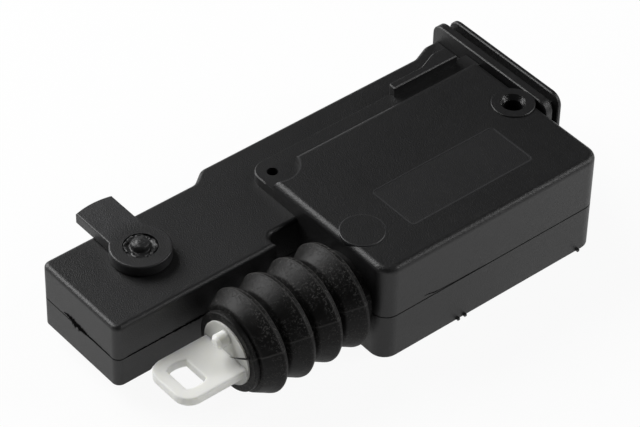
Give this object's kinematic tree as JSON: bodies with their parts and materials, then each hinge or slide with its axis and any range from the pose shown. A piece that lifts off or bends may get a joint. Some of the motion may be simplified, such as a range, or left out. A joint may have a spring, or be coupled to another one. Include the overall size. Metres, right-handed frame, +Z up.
{
  "type": "door lock actuator",
  "caption": "Car door lock actuator: flat black moulded housing with a narrow leg, a white nylon eye in a rubber bellows, a swivel retaining lever and a flanged connector end.",
  "frame": {"origin": "axis of the countersunk fixing hole, at the base face of the box", "axes": "+X from the leg towards the connector end, +Y towards the long far side, +Z up out of the cover"},
  "size_m": [0.1218, 0.0592, 0.0264],
  "materials": {
    "housing_plastic": "fine-grained black nylon",
    "lever_plastic": "smooth black nylon",
    "bellows_rubber": "black rubber",
    "slider_nylon": "translucent white nylon",
    "gear_nylon": "natural acetal",
    "motor_steel": "zinc plated",
    "cap_plastic": "natural",
    "pin_steel": "ground",
    "brass": "bright",
    "board": "laminate"
  },
  "bodies": {
    "housing": {"housing_base": "housing_plastic", "housing_cover": "housing_plastic", "connector_shroud": "housing_plastic", "switch_board": "board", "rack_gear_pin": "pin_steel", "crown_gear_pin": "pin_steel", "motor_can": "motor_steel", "motor_cap": "cap_plastic", "shaft_bush": "brass", "bellows": "bellows_rubber", "stop_pad_front": "bellows_rubber", "stop_pad_rear": "bellows_rubber", "lever_post": "lever_plastic", "terminal_1": "brass", "terminal_2": "brass", "terminal_3": "brass", "terminal_4": "brass", "motor_lead_1": "brass", "motor_lead_2": "brass"},
    "slider": {"slider_rod": "slider_nylon", "eye_tab": "slider_nylon", "wiper_spring": "brass"},
    "rack_wheel": {"rack_gear": "gear_nylon"},
    "crown_wheel": {"crown_gear": "gear_nylon"},
    "rotor": {"motor_shaft": "pin_steel", "motor_pinion": "brass"},
    "lever": {"retaining_lever": "lever_plastic"}
  },
  "joints": [
    {"name": "slider_slide", "type": "slide", "parent": "housing", "child": "slider", "axis": [1, 0, 0], "range_m": [0, 0.017], "deforming": ["bellows"]},
    {"name": "rack_wheel_turn", "type": "hinge", "parent": "housing", "child": "rack_wheel", "pos_m": [-0.0343, -0.00088, 0.014], "axis": [0, 0, 1], "range_deg": [-0.5, 156.5]},
    {"name": "crown_wheel_turn", "type": "hinge", "parent": "housing", "child": "crown_wheel", "pos_m": [-0.03053, 0.01385, 0.014], "axis": [0, 0, 1], "range_deg": [-437.5, 1]},
    {"name": "rotor_turn", "type": "hinge", "parent": "housing", "child": "rotor", "pos_m": [-0.0554, 0.01385, 0.014], "axis": [1, 0, 0], "range_deg": [-3, 1530.5]},
    {"name": "lever_turn", "type": "hinge", "parent": "housing", "child": "lever", "pos_m": [-0.0932, 0.01575, 0.0229], "axis": [0, 0, 1], "range_deg": [0, 90]}
  ],
  "couplings": [
    {"joint": "rack_wheel_turn", "follows": "slider_slide", "rad_per_m": 160},
    {"joint": "crown_wheel_turn", "follows": "slider_slide", "rad_per_m": -448},
    {"joint": "rotor_turn", "follows": "slider_slide", "rad_per_m": 1568}
  ]
}
